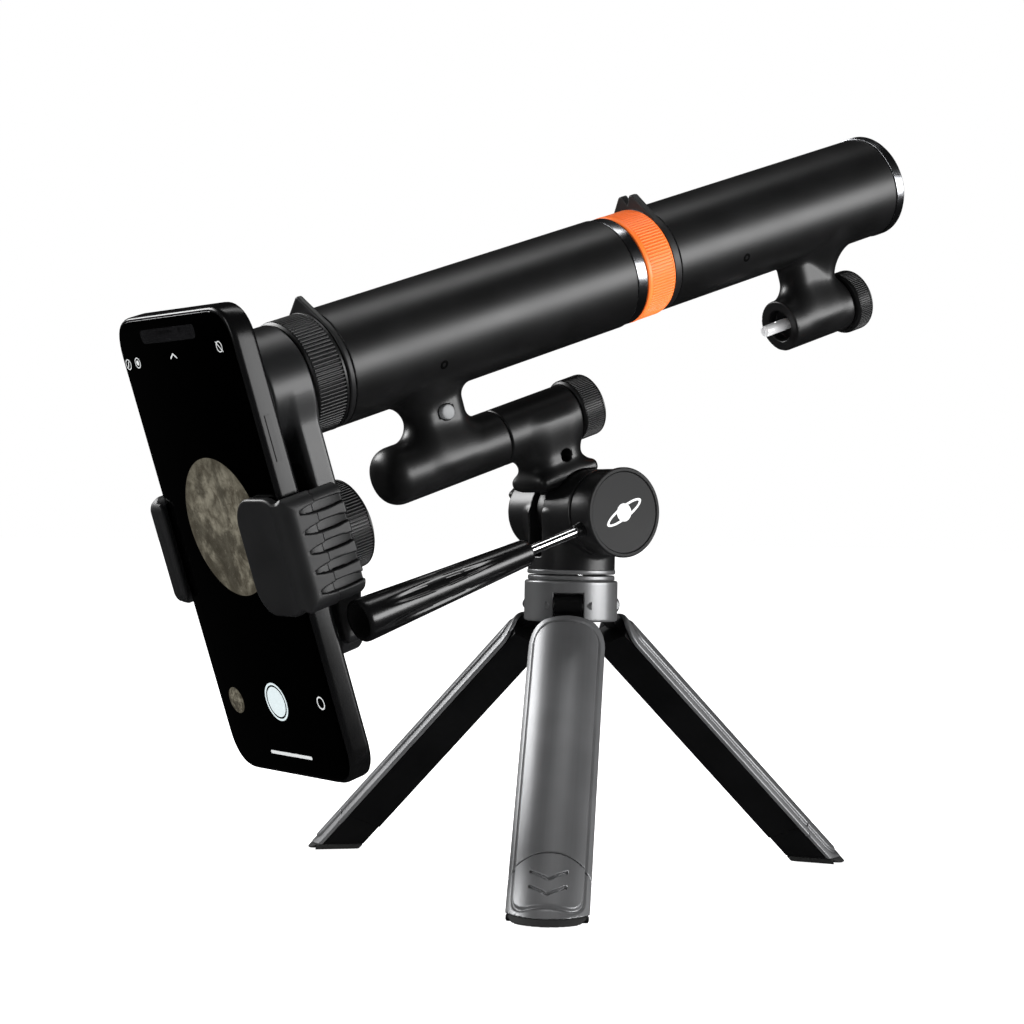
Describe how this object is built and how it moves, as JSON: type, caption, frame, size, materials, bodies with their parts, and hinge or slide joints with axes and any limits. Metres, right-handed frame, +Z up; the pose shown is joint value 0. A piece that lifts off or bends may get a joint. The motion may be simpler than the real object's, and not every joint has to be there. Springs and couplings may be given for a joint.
{
  "type": "telescope on tripod",
  "caption": "Small refractor telescope with sights and a focusing ring on a pan and tilt table tripod with folding legs, holding a phone behind the eyepiece.",
  "frame": {"origin": "on the table, under the middle of the whole object's footprint", "axes": "+Y is the heading the telescope aims along, +X is its right-hand side, +Z is up"},
  "size_m": [0.1832, 0.2769, 0.2533],
  "materials": {
    "leg_grey": "satin gunmetal, faintly brushed",
    "leg_black": "matte black moulding",
    "sole_rubber": "matte black rubber",
    "pin_steel": "plain turned steel",
    "head_black": "satin black",
    "cap_grey": "fine matte dark grey",
    "emblem_white": "white pad print",
    "rod_chrome": "bright chrome",
    "grip_black": "glossy satin black",
    "tube_black": "soft satin black",
    "knob_black": "fine knurled black",
    "screw_black": "black seats",
    "button_grey": "pale grey",
    "ring_metal": "dark polished metal",
    "focus_orange": "orange, finely ribbed",
    "inner_black": "dull black inside parts",
    "lens_glass": "coated optical glass",
    "adapter_black": "satin dark grey",
    "phone_frame": "satin black frame",
    "screen_glass": "glossy black display"
  },
  "bodies": {
    "stand": {"collar": "leg_grey", "pan_ring": "leg_grey", "hinge_pins": "pin_steel"},
    "leg_1": {"leg_1_core": "leg_black", "leg_1_cover": "leg_grey", "leg_1_foot": "leg_grey", "leg_1_sole": "sole_rubber"},
    "leg_2": {"leg_2_core": "leg_black", "leg_2_cover": "leg_grey", "leg_2_foot": "leg_grey", "leg_2_sole": "sole_rubber"},
    "leg_3": {"leg_3_core": "leg_black", "leg_3_cover": "leg_grey", "leg_3_foot": "leg_grey", "leg_3_sole": "sole_rubber"},
    "head": {"head_base": "head_black", "pan_spindle": "pin_steel"},
    "tilt_lock": {"lock_wing": "head_black", "lock_stud": "pin_steel"},
    "cradle": {"tilt_axle": "pin_steel", "tilt_drum": "head_black", "drum_cap": "cap_grey", "cap_emblem": "emblem_white", "rod_ferrule": "head_black", "handle_rod": "rod_chrome", "adaptor_body": "tube_black", "rear_tube": "tube_black", "rear_stem": "tube_black", "stem_cap": "tube_black", "rear_screws": "screw_black", "rear_sight": "tube_black", "joint_ring": "ring_metal", "eyepiece_barrel": "inner_black", "eye_lens": "lens_glass", "field_lens": "lens_glass", "adapter_body": "adapter_black"},
    "grip": {"handle_grip": "grip_black"},
    "adaptor_knob": {"adaptor_knob": "knob_black", "adaptor_bolt": "pin_steel"},
    "release_button": {"release_button": "button_grey"},
    "focus_ring": {"focus_ring": "focus_orange"},
    "front": {"front_tube": "tube_black", "front_stem": "tube_black", "front_sight": "tube_black", "front_bezel": "ring_metal", "front_screws": "screw_black", "objective_lens": "lens_glass", "lens_retainer": "inner_black", "draw_tube": "inner_black"},
    "front_knob": {"front_knob": "knob_black", "front_stud": "rod_chrome"},
    "eyepiece_ring": {"eyepiece_ring": "knob_black"},
    "phone_knob": {"phone_knob": "knob_black", "knob_shaft": "pin_steel"},
    "jaw_right": {"jaw_right": "adapter_black"},
    "jaw_left": {"jaw_left": "adapter_black"},
    "phone": {"phone_body": "phone_frame", "phone_screen": "screen_glass"},
    "side_key": {"phone_button": "phone_frame"}
  },
  "joints": [
    {"name": "leg_1_fold", "type": "hinge", "parent": "stand", "child": "leg_1", "pos_m": [0.01843, -0.00605, 0.0872], "axis": [0.6494, 0.7604, 0], "range_deg": [0, 46]},
    {"name": "leg_2_fold", "type": "hinge", "parent": "stand", "child": "leg_2", "pos_m": [0.01126, 0.01419, 0.0872], "axis": [-0.9833, 0.1822, 0], "range_deg": [0, 46]},
    {"name": "leg_3_fold", "type": "hinge", "parent": "stand", "child": "leg_3", "pos_m": [-0.00269, -0.00214, 0.0872], "axis": [0.3338, -0.9426, 0], "range_deg": [0, 46]},
    {"name": "pan", "type": "hinge", "parent": "stand", "child": "head", "pos_m": [0.009, 0.002, 0.0968], "axis": [0, 0, 1], "continuous": true},
    {"name": "tilt", "type": "hinge", "parent": "head", "child": "cradle", "pos_m": [0.009, 0.002, 0.1172], "axis": [1, 0, 0], "range_deg": [-30, 5]},
    {"name": "tilt_lock_turn", "type": "hinge", "parent": "head", "child": "tilt_lock", "pos_m": [0.009, 0.002, 0.1172], "axis": [1, 0, 0], "continuous": true},
    {"name": "grip_twist", "type": "hinge", "parent": "cradle", "child": "grip", "pos_m": [0.0304, -0.05983, 0.09464], "axis": [0, 0.9455, 0.3256], "range_deg": [0, 90]},
    {"name": "adaptor_knob_turn", "type": "hinge", "parent": "cradle", "child": "adaptor_knob", "pos_m": [0.009, 0.00319, 0.15119], "axis": [0, 0.9455, 0.3256], "continuous": true},
    {"name": "release_press", "type": "slide", "parent": "cradle", "child": "release_button", "axis": [-1, 0, 0], "range_m": [0, 0.001], "stiffness_N_per_m": 400, "springref_m": -0.0005},
    {"name": "focus_turn", "type": "hinge", "parent": "cradle", "child": "focus_ring", "pos_m": [0.009, 0.0228, 0.19866], "axis": [0, 0.9455, 0.3256], "range_deg": [0, 181]},
    {"name": "focus_slide", "type": "slide", "parent": "cradle", "child": "front", "axis": [0, 0.9455, 0.3256], "range_m": [0, 0.006]},
    {"name": "front_knob_turn", "type": "hinge", "parent": "front", "child": "front_knob", "pos_m": [0.009, 0.12174, 0.19391], "axis": [0, 0.9455, 0.3256], "continuous": true},
    {"name": "eyepiece_turn", "type": "hinge", "parent": "cradle", "child": "eyepiece_ring", "pos_m": [0.009, -0.10201, 0.15569], "axis": [0, 0.9455, 0.3256], "range_deg": [-60, 60]},
    {"name": "phone_knob_turn", "type": "hinge", "parent": "cradle", "child": "phone_knob", "pos_m": [0.009, -0.08671, 0.11125], "axis": [0, 0.9455, 0.3256], "range_deg": [0, 115]},
    {"name": "jaw_right_slide", "type": "slide", "parent": "cradle", "child": "jaw_right", "axis": [1, 0, 0], "range_m": [0, 0.012]},
    {"name": "jaw_left_slide", "type": "slide", "parent": "cradle", "child": "jaw_left", "axis": [-1, 0, 0], "range_m": [0, 0.0121]},
    {"name": "phone_slide", "type": "slide", "parent": "cradle", "child": "phone", "axis": [0, -0.3256, 0.9455], "range_m": [0, 0.12]},
    {"name": "side_key_press", "type": "slide", "parent": "phone", "child": "side_key", "axis": [-1, 0, 0], "range_m": [0, 0.0003], "stiffness_N_per_m": 300, "springref_m": -0.0003}
  ],
  "couplings": [
    {"joint": "focus_turn", "follows": "focus_slide", "rad_per_m": 526},
    {"joint": "phone_knob_turn", "follows": "jaw_right_slide", "rad_per_m": 166.67},
    {"joint": "jaw_left_slide", "follows": "jaw_right_slide", "ratio": 1}
  ]
}
